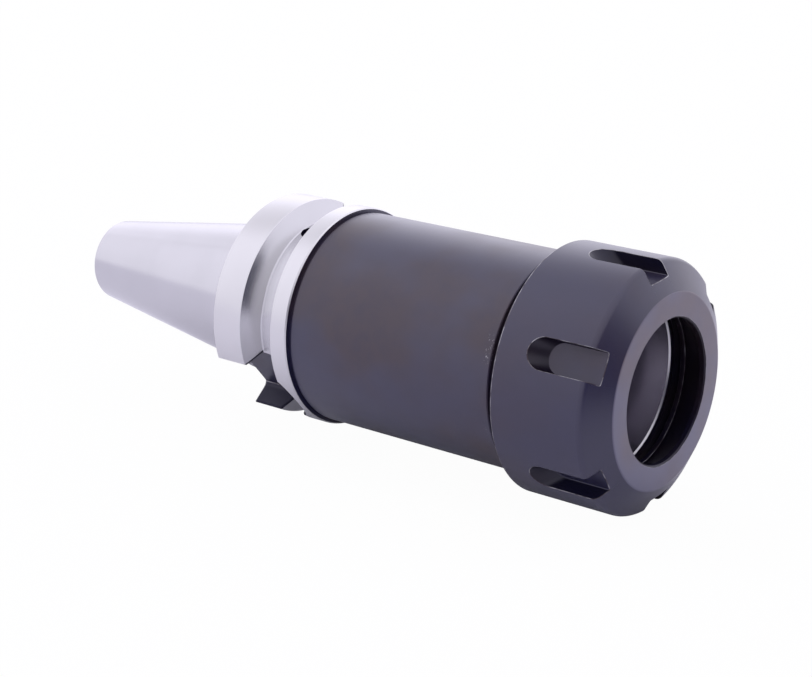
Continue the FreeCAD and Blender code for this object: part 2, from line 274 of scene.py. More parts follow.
def turned_ring(corners, sizes):
    """Ring spun about X from a closed loop of (x, radius) corners. A third value rounds a corner.

    It starts half a strip beside a slot's middle, so that no strip ends on a slot's rim.
    """
    shape = bmesh.new()
    points = closed_loop(shape, [(corner[0], 0.0, corner[1]) for corner in corners])
    for vert, corner in zip(points, corners):
        if len(corner) == 3:
            runs = [edge.other_vert(vert).co - vert.co for edge in vert.link_edges]
            rounded(shape, [vert], corner[2] / math.tan(runs[0].angle(runs[1]) / 2), 6)
    start = Matrix.Rotation(sizes.slot_angle + math.pi / sizes.steps, 4, AXIS)
    bmesh.ops.transform(shape, matrix=start, verts=shape.verts[:])
    bmesh.ops.spin(shape, geom=shape.verts[:] + shape.edges[:], cent=(0, 0, 0), axis=AXIS,
                   dvec=(0, 0, 0), angle=math.tau, steps=sizes.steps, use_merge=True)
    bmesh.ops.remove_doubles(shape, verts=shape.verts[:], dist=1e-7)
    bmesh.ops.recalc_face_normals(shape, faces=shape.faces[:])
    return shape


def slot_body(centre_x, open_x, half_width, floor, travel):
    """Closed body of a slot, open at one end and half-round about centre_x at the other.

    Its floor is drawn out along travel. The rounds of the floor's two corners almost meet, and
    the short edge between them is closed up.
    """
    shape = bmesh.new()
    side = math.copysign(1, open_x - centre_x)
    end_x = centre_x - side * half_width
    points = closed_loop(shape, [(open_x, -half_width, floor), (end_x, -half_width, floor),
                                 (end_x, half_width, floor), (open_x, half_width, floor)])
    rounded(shape, points[1:3], half_width * 0.9999, 16)
    bmesh.ops.remove_doubles(shape, verts=shape.verts[:], dist=half_width * 0.01)
    bmesh.ops.contextual_create(shape, geom=shape.edges[:])
    drawn = bmesh.ops.extrude_face_region(shape, geom=shape.faces[:], use_keep_orig=True)
    moved = [part for part in drawn["geom"] if isinstance(part, bmesh.types.BMVert)]
    bmesh.ops.translate(shape, verts=moved, vec=travel)
    bmesh.ops.recalc_face_normals(shape, faces=shape.faces[:])
    return shape


def round_floor(shape, floor, fillet, segments, is_wanted):
    """Rounds the edges of a cutter's floor whose places along the axis is_wanted accepts."""
    edges = [edge for edge in shape.edges
             if all(abs(vert.co.z - floor) < 1e-6 for vert in edge.verts)
             and is_wanted([vert.co.x for vert in edge.verts])]
    rounded(shape, edges, fillet, segments, "EDGES")


def add_object(name, data):
    """Object of that data, linked to the scene."""
    made = bpy.data.objects.new(name, data)
    bpy.context.scene.collection.objects.link(made)
    return made


def add_aimed(name, data, place, direction):
    """Camera or lamp at a place, level and aimed in that direction."""
    made = add_object(name, data)
    aim = direction.to_track_quat("-Z", "Y")
    made.matrix_world = Matrix.LocRotScale(Vector(place), aim, None)
    return made


def as_piece(shape, name, finishes=()):
    """Object made of the shape, with the finishes in its material slots."""
    mesh = bpy.data.meshes.new(name)
    shape.to_mesh(mesh)
    shape.free()
    for finish in finishes:
        mesh.materials.append(finish)
    return add_object(name, mesh)


def as_cutter(shape, turn, levels=()):
    """Object that cuts a piece, turned about X from +Z towards -Y.

    Its faces are MILLED, except where levels names a material slot for those below a height.
    """
    for face in shape.faces:
        height = face.calc_center_median().z
        face.material_index = next((slot for top, slot in levels if height < top), MILLED)
    bmesh.ops.transform(shape, matrix=Matrix.Rotation(turn, 4, AXIS), verts=shape.verts[:])
    return as_piece(shape, "cutter")


def rim_section(x, across, out_x, out_across, radius, width):
    """Three corners of a wedge that chamfers the rim between a slot's wall and a round outside.

    The slot is open towards +Z, the rim is at (x, across), and the wall faces against (out_x,
    out_across). The wedge goes on past both ends of the chamfer.
    """
    top = math.sqrt(radius ** 2 - across ** 2)
    far = math.sqrt(radius ** 2 - (across + out_across * width) ** 2)
    low = Vector((x, across, top - width))
    high = Vector((x + out_x * width, across + out_across * width, far))
    slant = high - low
    return [low - slant * 0.3, high + slant * 0.6, Vector((x, across, top + PAST / 2))]


def rim_cutter(sections, turn):
    """Cutter through a row of three-cornered sections."""
    shape = bmesh.new()
    rows = [[shape.verts.new(place) for place in section] for section in sections]
    for here, following in zip(rows, rows[1:]):
        for first, second in ((0, 1), (1, 2), (2, 0)):
            shape.faces.new((here[first], here[second], following[second], following[first]))
    shape.faces.new(rows[0])
    shape.faces.new(rows[-1])
    bmesh.ops.recalc_face_normals(shape, faces=shape.faces[:])
    return as_cutter(shape, turn)


def carve(piece, cutters):
    """Cuts the cutters out of the piece and deletes them."""
    for cutter in cutters:
        for finish in piece.data.materials:
            cutter.data.materials.append(finish)
        cut = piece.modifiers.new("cut", "BOOLEAN")
        cut.object = cutter
        cut.operation = "DIFFERENCE"
        cut.solver = "EXACT"
        cut.material_mode = "INDEX"
    whole = piece.data
    graph = bpy.context.evaluated_depsgraph_get()
    carved = bpy.data.meshes.new_from_object(piece.evaluated_get(graph))
    piece.modifiers.clear()
    piece.data = carved
    carved.name = piece.name
    bpy.data.meshes.remove(whole)
    for cutter in cutters:
        bpy.data.meshes.remove(cutter.data)


def clear_beside(shape, rim, distance):
    """Draws vertices that lie very near a rim onto it, so that a bevel there has room."""
    on_rim = {vert for edge in rim for vert in edge.verts}
    onto = {}
    for vert in on_rim:
        for edge in vert.link_edges:
            other = edge.other_vert(vert)
            if other not in on_rim and edge.calc_length() < distance:
                onto[other] = vert
    bmesh.ops.weld_verts(shape, targetmap=onto)
    bmesh.ops.dissolve_degenerate(shape, dist=1e-7, edges=shape.edges[:])


def rub_rim(piece, is_rim, width):
    """Bevels the edges that is_rim picks, and gives the new faces the rubbed finish."""
    shape = bmesh.new()
    shape.from_mesh(piece.data)
    clear_beside(shape, [edge for edge in shape.edges if is_rim(edge)], width * 1.5)
    rim = [edge for edge in shape.edges if is_rim(edge)]
    bmesh.ops.bevel(shape, geom=rim, offset=width, offset_type="OFFSET", segments=2,
                    profile=0.5, affect="EDGES", material=RUBBED_AND_HIGHLIGHT, loop_slide=False,
                    clamp_overlap=False)
    shape.to_mesh(piece.data)
    shape.free()


def on_section(face):
    """Place along the axis and radius of a face's middle."""
    middle = face.calc_center_median()
    return middle.x, math.hypot(middle.y, middle.z)


def near(face, x, radius, reach):
    """True for a face of a turned ring that lies within reach of a corner of the ring's section."""
    face_x, face_radius = on_section(face)
    return math.hypot(face_x - x, face_radius - radius) < reach


def smooth(piece):
    """Smooth shading that stops at real edges and where the finish changes."""
    shape = bmesh.new()
    shape.from_mesh(piece.data)
    for face in shape.faces:
        face.smooth = True
    for edge in shape.edges:
        if len(edge.link_faces) == 2:
            first, second = edge.link_faces
            same = first.material_index == second.material_index
            edge.smooth = same and edge.calc_face_angle(math.pi) < SHARP_ANGLE
    shape.to_mesh(piece.data)
    shape.free()


# Materials

class Signal:
    """A node's output. Python's operators on it add Math nodes to the same material."""

    def __init__(self, finish, socket):
        self.finish = finish
        self.socket = socket

    def maths(self, operation, first, second):
        return self.finish.node("ShaderNodeMath", {"operation": operation}, {0: first, 1: second})

    def __add__(self, other):
        return self.maths("ADD", self, other)

    __radd__ = __add__

    def __sub__(self, other):
        return self.maths("SUBTRACT", self, other)

    def __rsub__(self, other):
        return self.maths("SUBTRACT", other, self)

    def __mul__(self, other):
        return self.maths("MULTIPLY", self, other)

    __rmul__ = __mul__


class Finish:
    """A node material or world. Its method node adds each of its nodes."""

    def __init__(self, name, kind="materials"):
        self.block = getattr(bpy.data, kind).new(name)
        self.block.use_nodes = True
        self.tree = self.block.node_tree
        self.tree.nodes.clear()

    def node(self, kind, settings=None, sockets=None, output=0):
        """Adds a node, sets it, feeds its sockets, and gives the named output as a Signal."""
        made = self.tree.nodes.new(kind)
        for name, value in (settings or {}).items():
            setattr(made, name, value)
        for name, value in (sockets or {}).items():
            if isinstance(value, Signal):
                self.tree.links.new(value.socket, made.inputs[name])
            else:
                made.inputs[name].default_value = value
        if not made.outputs:
            return None
        return Signal(self, made.outputs[output])

    def place(self, scale=(1.0, 1.0, 1.0)):
        """Object coordinates, multiplied by scale."""
        where = self.node("ShaderNodeTexCoord", output="Object")
        return self.node("ShaderNodeMapping", sockets={"Vector": where, "Scale": scale})

    def noise(self, scale, detail=2.0, roughness=0.5, stretch=(1.0, 1.0, 1.0)):
        return self.node("ShaderNodeTexNoise", sockets={
            "Vector": self.place(stretch), "Scale": scale, "Detail": detail,
            "Roughness": roughness}, output="Fac")

    def ramp(self, value, low, high, start=0.0):
        """Rises smoothly from start to 1 while value goes from low to high."""
        return self.node("ShaderNodeMapRange", {"interpolation_type": "SMOOTHSTEP"},
                         {"Value": value, "From Min": low, "From Max": high, "To Min": start})

    def mix(self, share_of_second, first, second):
        return self.node("ShaderNodeMix", {"data_type": "RGBA"},
                         {0: share_of_second, 6: first, 7: second}, 2)

    def bump(self, height, distance):
        return self.node("ShaderNodeBump", sockets={"Height": height, "Distance": distance,
                                                    "Strength": 1.0})

    def ray(self, kind):
        """1 for rays of that kind, else 0."""
        return self.node("ShaderNodeLightPath", output=f"Is {kind} Ray")

    def seen(self):
        """1 for what the camera sees, straight or through glass, else 0."""
        camera = self.ray("Camera")
        return camera.maths("MAXIMUM", camera, self.ray("Transmission"))

    def towards(self, direction):
        """1 in that direction of the world, 0 at right angles to it and -1 behind."""
        where = self.node("ShaderNodeTexCoord", output="Generated")
        return self.node("ShaderNodeVectorMath", {"operation": "DOT_PRODUCT"},
                         {0: where, 1: Vector(direction).normalized()}, "Value")

    def surface(self, **sockets):
        """Material with a Principled shader. Underscores stand for the sockets' spaces."""
        named = {name.replace("_", " "): value for name, value in sockets.items()}
        return self.shown(self.node("ShaderNodeBsdfPrincipled", sockets=named))

    def shown(self, shader, kind="Material"):
        """The material or world, with that shader at its output."""
        self.node(f"ShaderNodeOutput{kind}", sockets={"Surface": shader})
        return self.block


def shade(value, strength=1.0, lift=0.0):
    """RGBA of a colour property, multiplied by strength and raised by lift."""
    return (*(part * strength + lift for part in value), 1.0)


def ground_steel(finishes, name, metal, rough=0.0, grain=1.0):
    """Bright steel with fine grinding lines that run round the axis."""
    finish = Finish(name)
    lines = finish.noise(1.0, 3.0, 0.65, GRINDING)
    cloud = finish.noise(70.0, 3.0)
    tint = finish.mix(finish.ramp(cloud, 0.3, 0.7), shade(metal), shade(metal, 0.96))
    gloss = (lines - 0.5) * (grain * 0.10) + (cloud - 0.5) * 0.06 + finishes.steel_roughness + rough
    return finish.surface(Base_Color=tint, Metallic=1.0, Roughness=gloss,
                          Normal=finish.bump(lines, GRINDING_DEPTH * grain))


def scuffs(finish, end):
    """Small scuffs in patches, in a band that ends at that place along the axis. 1 is bare."""
    along = finish.node("ShaderNodeSeparateXYZ", sockets={"Vector": finish.place()}, output="X")
    band = finish.ramp(along, end - 2.2 * MM, end - 0.6 * MM)
    flecks = finish.ramp(finish.noise(2600.0, stretch=(1.6, 1.0, 1.0)), 0.62, 0.70)
    patch = finish.ramp(finish.noise(75.0), 0.50, 0.62)
    return flecks * band * patch


def black_oxide(finishes, name, tone=1.0, rough=0.0, coat=1.0, lift=0.0, brown=1.0,
                scuffed_to=None):
    """Blackened steel: a dark satin skin with faint brown bloom and turning lines.

    It may have scuffs that show bare steel, in a band that ends at scuffed_to.
    """
    finish = Finish(name)
    lines = finish.noise(1.0, 3.0, 0.6, TURNING)
    bloom = finish.noise(34.0, 3.0, stretch=(1.0, 1.3, 1.3))
    mottle = finish.noise(260.0, 4.0, 0.6)
    patches = finish.ramp(bloom, 0.42, 0.66) * brown
    tint = finish.mix(patches, shade(finishes.black, tone, lift), shade(finishes.brown, tone, lift))
    skin = finish.mix(finish.ramp(mottle, 0.35, 0.75) * 0.35, tint,
                      shade(finishes.black, tone * 0.75, lift))
    bare = 0.0
    if scuffed_to is not None:
        bare = scuffs(finish, scuffed_to)
        skin = finish.mix(bare, skin, shade(finishes.steel, 0.8))
    gloss = (lines - 0.5) * 0.06 + (bloom - 0.5) * 0.10 + finishes.black_roughness + rough
    return finish.surface(Base_Color=skin, Metallic=bare, Roughness=gloss,
                          Normal=finish.bump(lines, TURNING_DEPTH), IOR=1.3 + 0.12 * coat,
                          Specular_Tint=shade(finishes.sheen),
                          Coat_Weight=(1.0 - patches * 0.3) * coat,
                          Coat_Roughness=finishes.coat_roughness, Coat_IOR=finishes.coat_ior)


def rubbed_edge(finishes):
    """Edge where handling has rubbed the black skin thin and the steel shows. The same finish is a
    painted highlight on a strip of each drive slot's fillet, and partly on the nut's mouth and lip
    edges.
    """
    finish = Finish("rubbed_edge")
    wear = finish.ramp(finish.noise(420.0, 3.0, 0.6), 0.35, 0.65)
    tint = finish.mix(wear, shade(finishes.brown), shade(finishes.steel, 0.65))
    return finish.surface(Base_Color=tint, Metallic=wear * 0.6 + 0.2, Roughness=0.35)


# Profiles

def holder_outside(sizes):
    """Outside of the holder's section, from its small end to its front."""
    gauge = sizes.gauge_diameter / 2
    rear = -sizes.taper_length
    slope = sizes.taper_ratio / 2
    small = gauge - sizes.taper_length * slope
    chamfer = sizes.taper_chamfer
    relief = gauge - sizes.relief_depth
    flange = sizes.flange_diameter / 2
    edge = sizes.flange_chamfer
    groove = sizes.groove_floor / 2
    half_mouth = sizes.groove_width / 2
    half_floor = half_mouth - (flange - groove) * math.tan(sizes.groove_angle / 2)
    body = sizes.body_diameter / 2
    undercut = body - sizes.undercut_depth
    undercut_end = sizes.flange_front + sizes.undercut_width
    neck = sizes.neck_diameter / 2
    crest = sizes.thread_crest / 2
    thread_start = sizes.body_front + sizes.neck_width
    return [
        (rear, small + chamfer * (slope - 1)),
        (rear + chamfer, small + chamfer * slope, sizes.taper_round),
        (0.0, gauge),
        (sizes.relief_depth, relief),
        (sizes.flange_rear, relief),
        (sizes.flange_rear, flange - edge),
        (sizes.flange_rear + edge, flange, sizes.edge_round),
        (sizes.groove_centre - half_mouth, flange, sizes.groove_edge),
        (sizes.groove_centre - half_floor, groove, sizes.groove_corner),
        (sizes.groove_centre + half_floor, groove, sizes.groove_corner),
        (sizes.groove_centre + half_mouth, flange, sizes.groove_edge),
        (sizes.flange_front - edge / 2, flange),
        (sizes.flange_front, flange - edge / 2),
        (sizes.flange_front, undercut),
        (undercut_end, undercut),
        (undercut_end + sizes.undercut_depth, body),
        (sizes.body_front - sizes.body_chamfer, body, sizes.edge_round),
        (sizes.body_front, body - sizes.body_chamfer),
        (sizes.body_front, neck, sizes.neck_corner),
        (thread_start, neck),
        (thread_start + crest - neck, crest),
        (sizes.nose_front - sizes.nose_chamfer, crest),
        (sizes.nose_front, crest - sizes.nose_chamfer),
    ]


def holder_inside(sizes):
    """Inside of the holder's section, from its front back to its small end."""
    rear = -sizes.taper_length
    chamfer = sizes.taper_chamfer
    seat_mouth = sizes.nose_front - sizes.seat_chamfer
    seat_radius = sizes.seat_diameter / 2
    seat_slope = math.tan(sizes.seat_half_angle)
    lead_slope = math.tan(sizes.seat_lead)
    edge_x = sizes.nose_front - sizes.seat_edge
    edge_radius = seat_radius + sizes.seat_chamfer - sizes.seat_edge
    drop = edge_radius - seat_radius - (edge_x - seat_mouth) * seat_slope
    lead = drop / (lead_slope - seat_slope)
    seat_end = seat_mouth - sizes.seat_length
    bore = sizes.bore_diameter / 2
    bore_end = seat_end - sizes.bore_length
    coolant = sizes.coolant_diameter / 2
    drill = math.tan(DRILL_POINT)
    stud = sizes.stud_root / 2
    stud_end = rear + sizes.stud_depth
    pilot = sizes.pilot_diameter / 2
    pilot_end = rear + sizes.pilot_depth
    return [
        (sizes.nose_front, seat_radius + sizes.seat_chamfer),
        (edge_x, edge_radius),
        (edge_x - lead, edge_radius - lead * lead_slope, sizes.seat_round),
        (seat_end, seat_radius - sizes.seat_length * seat_slope),
        (seat_end, bore),
        (bore_end, bore),
        (bore_end - (bore - coolant) / drill, coolant),
        (stud_end + (stud - coolant) / drill, coolant),
        (stud_end, stud),
        (pilot_end + pilot - stud, stud),
        (pilot_end, pilot),
        (rear + chamfer / 2, pilot),
        (rear, pilot + chamfer / 2),
    ]


def nut_corners(sizes):
    """Closed section of the clamping nut."""
    radius = sizes.diameter / 2
    front = sizes.rear + sizes.length
    face = sizes.face_diameter / 2
    cone_start = front - (radius - face) * math.tan(sizes.cone_angle)
    mouth = sizes.mouth_diameter / 2
    seat = sizes.seat_diameter / 2
    seat_front = front - sizes.mouth_land
    seat_rear = seat_front - (seat - mouth) / math.tan(sizes.seat_half_angle)
    lip = sizes.lip_diameter / 2
    lip_rear = seat_rear - sizes.lip_width
    relief = sizes.relief_diameter / 2
    relief_rear = lip_rear - sizes.relief_width
    crest = sizes.thread_crest / 2
    return [
        (sizes.rear, radius - sizes.rear_chamfer),
        (sizes.rear + sizes.rear_chamfer, radius, sizes.rear_round),
        (cone_start, radius, sizes.cone_round),
        (front, face, sizes.face_round),
        (front, mouth + sizes.mouth_chamfer, sizes.mouth_round),
        (front - sizes.mouth_chamfer, mouth),
        (seat_front, mouth),
        (seat_rear, seat),
        (seat_rear, lip, sizes.lip_round),
        (lip_rear, lip, sizes.lip_round),
        (lip_rear, relief),
        (relief_rear, relief),
        (relief_rear - relief + crest, crest),
        (sizes.rear + sizes.thread_chamfer, crest),
        (sizes.rear, crest + sizes.thread_chamfer),
    ]


# Operators

class HOLDER_OT_body(Operator):
    """Build the holder's body: taper shank, drive flange, chuck body and threaded nose"""

    bl_idname = "tool_holder.body"
    bl_label = "Holder Body"

    def execute(self, context):
        sizes = context.scene.holder
        finishes = context.scene.holder_finish
        shape = turned_ring(holder_outside(sizes) + holder_inside(sizes), sizes)
        self.choose_finishes(shape, sizes)
        piece = as_piece(shape, "ground_holder", [
            ground_steel(finishes, "ground_steel", finishes.steel),
            ground_steel(finishes, "land_steel", finishes.land, rough=0.1),
            black_oxide(finishes, "black_oxide", scuffed_to=sizes.body_front),
            # Milled faces of the drive slots and their rims, the index hole and the stud thread:
            # less gloss, and darker than the body's black as painted shade. The slot floor is also a
            # little darker as painted shade.
            black_oxide(finishes, "milled_black", tone=0.5, rough=0.05, coat=0.3),
            black_oxide(finishes, "slot_floor_black", tone=0.8, rough=0.05, coat=0.6),
            ground_steel(finishes, "ground_seat", finishes.seat, rough=0.03, grain=0.2),
            rubbed_edge(finishes)])
        turns = (sizes.slot_angle, sizes.slot_angle + math.pi)
        cutters = [self.drive_slot(sizes, turn) for turn in turns]
        for turn in turns:
            cutters += self.slot_rims(sizes, turn)
        cutters += [self.slot_rear(sizes, turn) for turn in turns]
        carve(piece, cutters + [self.index_hole(sizes)])
        self.stud_thread(piece, sizes)
        smooth(piece)
        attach(piece, "holder")
        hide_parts("holder_body")
        return {"FINISHED"}

    @staticmethod
    def choose_finishes(shape, sizes):
        """Ground steel as far as the flange's front, a ground collet seat, and black elsewhere.

        The lands, the groove's front flank and the strip at the seat's rim are the brightest. That
        strip is a deburred edge, and its bright colour is partly a painted highlight.
        """
        gauge = sizes.gauge_diameter / 2
        seat_end = sizes.nose_front - sizes.seat_chamfer - sizes.seat_length
        seat_rim = sizes.seat_diameter / 2 + sizes.seat_chamfer
        seat_edge = sizes.nose_front - sizes.seat_edge
        land = sizes.flange_diameter / 2 - 0.2 * MM
        front_flank = sizes.groove_centre + 2 * MM
        for face in shape.faces:
            x, radius = on_section(face)
            # The holes lie within this share of the taper's radius, and the outside beyond it
            hole = 0.72 * min(gauge, gauge + x * sizes.taper_ratio / 2)
            # Strip at the seat's rim: a deburred edge, bright partly as a painted highlight
            if x > seat_edge and seat_rim - sizes.seat_edge < radius < seat_rim:
                face.material_index = LAND
            elif x < sizes.flange_front - HAIR and radius > hole:
                face.material_index = LAND if radius > land or x > front_flank else GROUND
            elif x > seat_end and radius < seat_rim:
                face.material_index = INSIDE
            else:
                face.material_index = BLACKENED

    @staticmethod
    def drive_slot(sizes, turn):
        """Cutter for a drive slot. A strip of its floor fillet takes the rubbed finish as a painted
        highlight.
        """
        floor, fillet = sizes.slot_floor, sizes.slot_fillet
        half_width = sizes.slot_width / 2
        shape = slot_body(sizes.slot_end - half_width, sizes.flange_rear - PAST, half_width, floor,
                          (0, 0, sizes.flange_diameter / 2 - floor + PAST))
        round_floor(shape, floor, fillet, 5, lambda x: max(x) > sizes.flange_rear)
        # Painted highlight: the fillet's strip from 0.06 to 0.2 of its size above the floor gets the
        # rubbed finish, in place of the light that the curve catches
        return as_cutter(shape, turn, [(floor + HAIR, SLOT_FLOOR), (floor + 0.06 * fillet, MILLED),
                                       (floor + 0.2 * fillet, RUBBED_AND_HIGHLIGHT)])

    @staticmethod
    def slot_rims(sizes, turn):
        """Cutters for the chamfer on a drive slot's rims: along both walls, and round its end."""
        half_width = sizes.slot_width / 2
        land = sizes.flange_diameter / 2
        mouth = sizes.groove_centre - sizes.groove_width / 2
        floor = sizes.groove_floor / 2
        slope = math.tan(sizes.groove_angle / 2)
        rises = [(land - floor) * step / 4 for step in range(5)]
        wall = [(sizes.flange_rear - PAST / 2, land)]
        wall += [(mouth + rise * slope, land - rise) for rise in rises]
        cutters = []
        for side in (-1, 1):
            sections = [rim_section(x, side * half_width, 0, side, radius, sizes.slot_chamfer)
                        for x, radius in wall]
            cutters.append(rim_cutter(sections, turn))
        sections = []
        for step in range(-12, 13):
            swing = math.radians(4 * step)
            across, along = math.sin(swing), math.cos(swing)
            sections.append(rim_section(sizes.slot_end - half_width * (1 - along),
                                        half_width * across, along, across, land,
                                        sizes.slot_chamfer))
        cutters.append(rim_cutter(sections, turn))
        return cutters

    @staticmethod
    def slot_rear(sizes, turn):
        """Cutter for the chamfer round a drive slot in the flange's rear face.

        It starts a little behind that face and ends a little past the chamfer, on one slope.
        """
        chamfer = sizes.slot_rear_chamfer
        top = sizes.flange_diameter / 2 + PAST
        shape = bmesh.new()
        for ahead in (-0.15, 1.3):
            x = sizes.flange_rear + chamfer * ahead
            growth = chamfer * (1 - ahead)
            half_width = sizes.slot_width / 2 + growth
            corner = sizes.slot_fillet + growth
            middle = sizes.slot_floor - growth + corner
            for side in (-1, 1):
                shape.verts.new((x, side * half_width, top))
                for step in range(6):
                    swing = math.radians(18 * step)
                    shape.verts.new((x, side * (half_width - corner + corner * math.cos(swing)),
                                     middle - corner * math.sin(swing)))
        bmesh.ops.convex_hull(shape, input=shape.verts[:])
        return as_cutter(shape, turn)

    @staticmethod
    def index_hole(sizes):
        """Cutter for the drilled hole in the groove."""
        radius = sizes.index_diameter / 2
        top = sizes.flange_diameter / 2
        floor = sizes.groove_floor / 2 - sizes.index_depth
        tip = radius / math.tan(DRILL_POINT)
        shape = bmesh.new()
        bmesh.ops.create_cone(shape, cap_ends=True, segments=64, radius1=radius, radius2=radius,
                              depth=top - floor)
        bmesh.ops.translate(shape, verts=shape.verts[:],
                            vec=(sizes.index_place, 0, (top + floor) / 2))
        low = [face for face in shape.faces if face.normal.z < -0.9]
        bmesh.ops.poke(shape, faces=low, offset=tip)
        return as_cutter(shape, sizes.index_angle)

    @staticmethod
    def stud_thread(piece, sizes, turns=13, steps=48):
        """Adds the stud thread's right-handed ridge, a closed body of its own, to the piece."""
        pitch = sizes.stud_pitch
        start = sizes.pilot_depth - sizes.taper_length + pitch
        root = sizes.stud_root / 2 + 0.1 * MM
        crest = sizes.stud_crest / 2
        shape = bmesh.new()
        closed_loop(shape, [(start - pitch * 7 / 16, 0, root), (start - pitch / 8, 0, crest),
                            (start + pitch / 8, 0, crest), (start + pitch * 7 / 16, 0, root)])
        bmesh.ops.spin(shape, geom=shape.verts[:] + shape.edges[:], cent=(0, 0, 0), axis=AXIS,
                       dvec=(pitch / steps, 0, 0), angle=math.tau * turns, steps=steps * turns,
                       use_merge=False)
        ends = [edge for edge in shape.edges if edge.is_boundary]
        bmesh.ops.holes_fill(shape, edges=ends, sides=4)
        bmesh.ops.recalc_face_normals(shape, faces=shape.faces[:])
        for face in shape.faces:
            face.material_index = MILLED
        ridge = bpy.data.meshes.new("ridge")
        shape.to_mesh(ridge)
        shape.clear()
        shape.from_mesh(piece.data)
        shape.from_mesh(ridge)
        shape.to_mesh(piece.data)
        shape.free()
        bpy.data.meshes.remove(ridge)


class HOLDER_OT_nut(Operator):
    """Build the clamping nut with its spanner slots"""

    bl_idname = "tool_holder.nut"
    bl_label = "Clamping Nut"

    def execute(self, context):
        sizes = context.scene.clamping_nut
        finishes = context.scene.holder_finish
        shape = turned_ring(nut_corners(sizes), sizes)
        self.choose_finishes(shape, sizes)
        black = black_oxide(finishes, "nut_black", coat=0.88, brown=0.4)
        piece = as_piece(shape, "slotted_nut", [
            black_oxide(finishes, "nut_face_black", tone=1.9, lift=0.052), black, black,
            # Spanner slots: milled walls with their own gloss, darker than the nut's black as
            # painted shade. Their floor is also a little darker as painted shade.
            black_oxide(finishes, "nut_milled", tone=0.4, rough=-0.06, coat=0.35),
            black_oxide(finishes, "nut_slot_floor", tone=0.9, coat=0.8),
            # Painted shade: the nut's inside is the same blackened steel, darker here for the shade
            # inside the nut
            black_oxide(finishes, "nut_inside", tone=0.4, coat=0.2),
            rubbed_edge(finishes)])
        step = math.tau / sizes.slot_count
        carve(piece, [self.spanner_slot(sizes, sizes.slot_angle + step * number)
                      for number in range(sizes.slot_count)])
        rub_rim(piece, self.is_slot_rim, sizes.slot_break)
        smooth(piece)
        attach(piece, "nut")
        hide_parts("clamping_nut")
        return {"FINISHED"}

    @staticmethod
    def choose_finishes(shape, sizes):
        """Black outside, a finer face, an inside darker as painted shade, and rubbed rear, mouth and
        lip edges; the mouth and lip edges are lighter also as painted highlights.
        """
        front = sizes.rear + sizes.length
        mouth = sizes.mouth_diameter / 2
        seat_run = (sizes.seat_diameter / 2 - mouth) / math.tan(sizes.seat_half_angle)
        seat_rear = front - sizes.mouth_land - seat_run
        lip = sizes.lip_diameter / 2
        face_edge = sizes.face_diameter / 2
        rubbed = [(sizes.rear + sizes.rear_chamfer, sizes.diameter / 2, sizes.rear_round),
                  # The mouth and lip edges are rubbed, and lighter also as painted highlights
                  (front, mouth + sizes.mouth_chamfer, sizes.mouth_round),
                  (seat_rear, lip, sizes.lip_round),
                  (seat_rear - sizes.lip_width, lip, sizes.lip_round)]
        for face in shape.faces:
            x, radius = on_section(face)
            cone = front - (radius - face_edge) * math.tan(sizes.cone_angle)
            if any(near(face, *corner, round_size / 2) for *corner, round_size in rubbed):
                face.material_index = RUBBED_AND_HIGHLIGHT
            elif x > front - HAIR or near(face, front, face_edge, sizes.face_round * 0.26):
                face.material_index = GROUND
            elif radius > sizes.relief_diameter / 2 or x < sizes.rear + HAIR:
                face.material_index = BLACKENED
            elif radius > mouth + 1 * MM and x > cone - 0.5 * MM:
                face.material_index = BLACKENED
            # Painted shade: the darker inside
            else:
                face.material_index = INSIDE

    @staticmethod
    def is_slot_rim(edge):
        """True where an edge divides the nut's black outside from a slot."""
        sides = sorted(face.material_index for face in edge.link_faces)
        return sides in ([BLACKENED, MILLED], [BLACKENED, SLOT_FLOOR])

    @staticmethod
    def spanner_slot(sizes, turn):
        """Cutter for a spanner slot. Its rear end leans back and ramps up to the surface."""
        half_width = sizes.slot_width / 2
        floor = sizes.diameter / 2 - sizes.slot_depth
        front = sizes.rear + sizes.length
        rise = sizes.slot_depth + PAST
        lean = rise / math.tan(sizes.slot_ramp)
        shape = slot_body(front - sizes.slot_length + half_width, front + lean + PAST, half_width,
                          floor, (-lean, 0, rise))
        round_floor(shape, floor, sizes.slot_fillet, 3, lambda x: min(x) < front)
        return as_cutter(shape, turn, [(floor + sizes.slot_fillet * 0.5, SLOT_FLOOR)])


